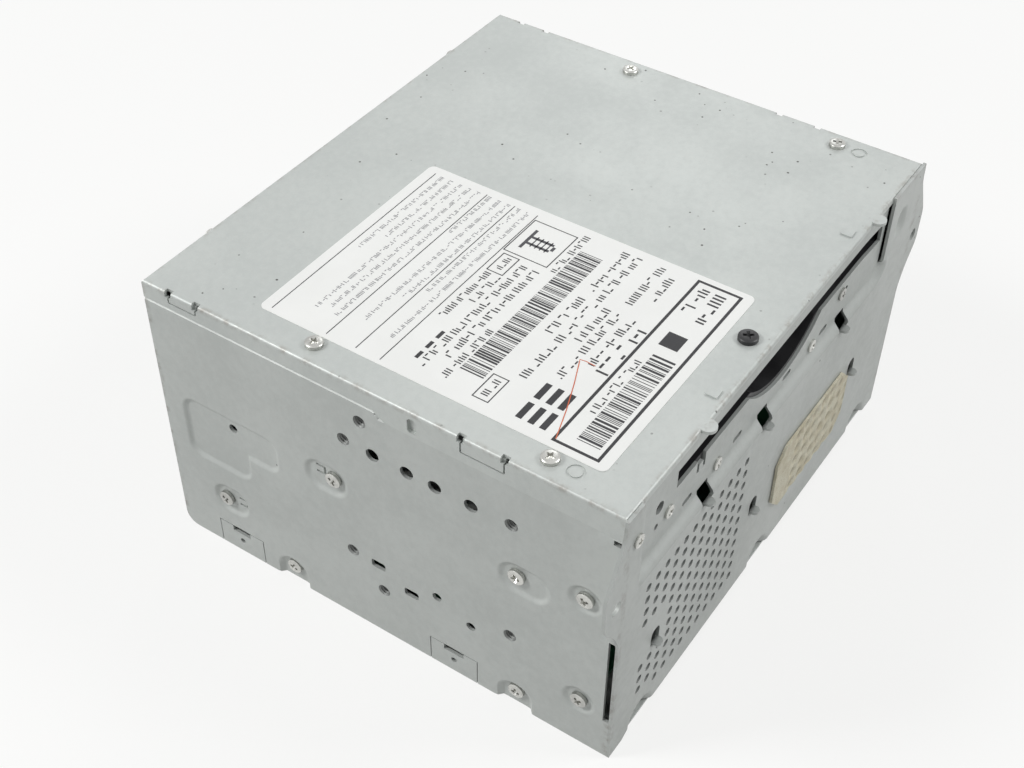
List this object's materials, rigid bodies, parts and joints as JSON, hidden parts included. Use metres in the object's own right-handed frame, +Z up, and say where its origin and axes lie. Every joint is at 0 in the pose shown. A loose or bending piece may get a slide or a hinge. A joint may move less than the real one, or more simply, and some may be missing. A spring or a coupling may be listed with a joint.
{
  "type": "car head unit",
  "caption": "Double-height dashboard audio chassis: sheet steel box with a disc slot and a slot-loading disc deck, amplifier board and cooling fan inside.",
  "frame": {"origin": "middle of the box's underside", "axes": "+X to the right as seen from the back, which is the width; -Y is the front with the disc slot; +Z up"},
  "size_m": [0.1956, 0.166, 0.1016],
  "materials": {
    "galvanised_steel": "galvanised sheet with a fine mottled bloom",
    "tinned_steel": "bright tinned sheet",
    "zinc_screw": "bright zinc plate",
    "black_screw": "black zinc plate",
    "ground_steel": "ground and polished",
    "motor_steel": "plated motor can",
    "label_film": "white printed film, satin",
    "filter_cloth": "pale cream nonwoven cloth",
    "black_plastic": "moulded, fine matt texture",
    "white_plastic": "natural moulded acetal",
    "socket_plastic": "moulded, dark grey",
    "black_rubber": "soft matt rubber",
    "lens_glass": "coated lens",
    "circuit_board": "green solder mask",
    "bare_aluminium": "extruded, bare",
    "capacitor_sleeve": "shrunk dark sleeve",
    "contact_brass": "plated contacts",
    "plated_brass": "nickel plated",
    "ribbon_plastic": "white laminated film"
  },
  "bodies": {
    "chassis": {"amplifier_ic": "black_plastic", "antenna_socket": "plated_brass", "aux_socket": "socket_plastic", "board_screws": "zinc_screw", "board_standoffs": "ground_steel", "bottom_cover": "galvanised_steel", "bottom_edge_screws": "zinc_screw", "capacitors": "capacitor_sleeve", "clamp_pivot_pin": "ground_steel", "connector_pins": "contact_brass", "deck_chassis": "galvanised_steel", "deck_stop_screw": "black_screw", "disc_guide_screws": "zinc_screw", "fan_frame": "black_plastic", "fan_screws": "black_screw", "filter_pad": "filter_cloth", "front_plate": "galvanised_steel", "front_wing_screw": "zinc_screw", "guide_rods": "ground_steel", "harness_socket": "socket_plastic", "heat_sink": "bare_aluminium", "idler_pin": "ground_steel", "label_sheet": "label_film", "left_deck_bracket": "galvanised_steel", "left_side_wall": "galvanised_steel", "left_wall_screws": "zinc_screw", "loading_motor": "motor_steel", "lower_disc_guide": "black_plastic", "main_board": "circuit_board", "rear_lip_screws": "zinc_screw", "rear_panel": "galvanised_steel", "ribbon_cable": "ribbon_plastic", "ribbon_plugs": "white_plastic", "right_deck_bracket": "galvanised_steel", "right_side_wall": "galvanised_steel", "right_wall_screws": "zinc_screw", "roller_bushes": "white_plastic", "rubber_dampers": "black_rubber", "shield_can": "tinned_steel", "sled_motor": "motor_steel", "spindle_motor": "motor_steel", "top_cover": "galvanised_steel", "top_cover_screws": "zinc_screw", "tuner_module": "tinned_steel", "upper_disc_guide": "black_plastic"},
    "feed_roller": {"roller_shaft": "ground_steel", "roller_sleeves": "black_rubber", "roller_gear": "white_plastic"},
    "idler": {"idler_gear": "white_plastic"},
    "pinion": {"motor_pinion": "white_plastic"},
    "turntable": {"turntable": "black_plastic"},
    "clamp_arm": {"clamp_arm": "galvanised_steel"},
    "clamp_puck": {"clamp_puck": "white_plastic"},
    "pickup": {"pickup_sled": "black_plastic"},
    "lens": {"pickup_lens": "lens_glass"},
    "lead_screw": {"lead_screw": "ground_steel"},
    "fan_rotor": {"fan_rotor": "black_plastic"}
  },
  "joints": [
    {"name": "feed_roller_spin", "type": "hinge", "parent": "chassis", "child": "feed_roller", "pos_m": [0, -0.065, 0.0835], "axis": [1, 0, 0], "continuous": true},
    {"name": "idler_spin", "type": "hinge", "parent": "chassis", "child": "idler", "pos_m": [0.0773, -0.0496, 0.07916], "axis": [1, 0, 0], "continuous": true},
    {"name": "pinion_spin", "type": "hinge", "parent": "chassis", "child": "pinion", "pos_m": [0.0773, -0.0361, 0.0808], "axis": [1, 0, 0], "continuous": true},
    {"name": "turntable_spin", "type": "hinge", "parent": "chassis", "child": "turntable", "pos_m": [0.0017, 0.002, 0.088], "axis": [0, 0, 1], "continuous": true},
    {"name": "clamp_arm_swing", "type": "hinge", "parent": "chassis", "child": "clamp_arm", "pos_m": [0.0017, 0.06, 0.0926], "axis": [1, 0, 0], "range_deg": [0, 3]},
    {"name": "clamp_puck_spin", "type": "hinge", "parent": "clamp_arm", "child": "clamp_puck", "pos_m": [0.0017, 0.002, 0.095], "axis": [0, 0, 1], "continuous": true},
    {"name": "pickup_slide", "type": "slide", "parent": "chassis", "child": "pickup", "axis": [-1, 0, 0], "range_m": [0, 0.034]},
    {"name": "lens_focus", "type": "slide", "parent": "pickup", "child": "lens", "axis": [0, 0, 1], "range_m": [-0.0005, 0.0005], "stiffness_N_per_m": 200},
    {"name": "lead_screw_spin", "type": "hinge", "parent": "chassis", "child": "lead_screw", "pos_m": [-0.04, -0.0235, 0.079], "axis": [1, 0, 0], "range_deg": [0, 4081]},
    {"name": "fan_spin", "type": "hinge", "parent": "chassis", "child": "fan_rotor", "pos_m": [0.056, 0.073, 0.043], "axis": [0, 1, 0], "continuous": true}
  ],
  "couplings": [
    {"joint": "idler_spin", "follows": "feed_roller_spin", "ratio": -0.66667},
    {"joint": "pinion_spin", "follows": "feed_roller_spin", "ratio": 1.6},
    {"joint": "clamp_puck_spin", "follows": "turntable_spin", "ratio": 1},
    {"joint": "lead_screw_spin", "follows": "pickup_slide", "rad_per_m": 2094.4}
  ]
}
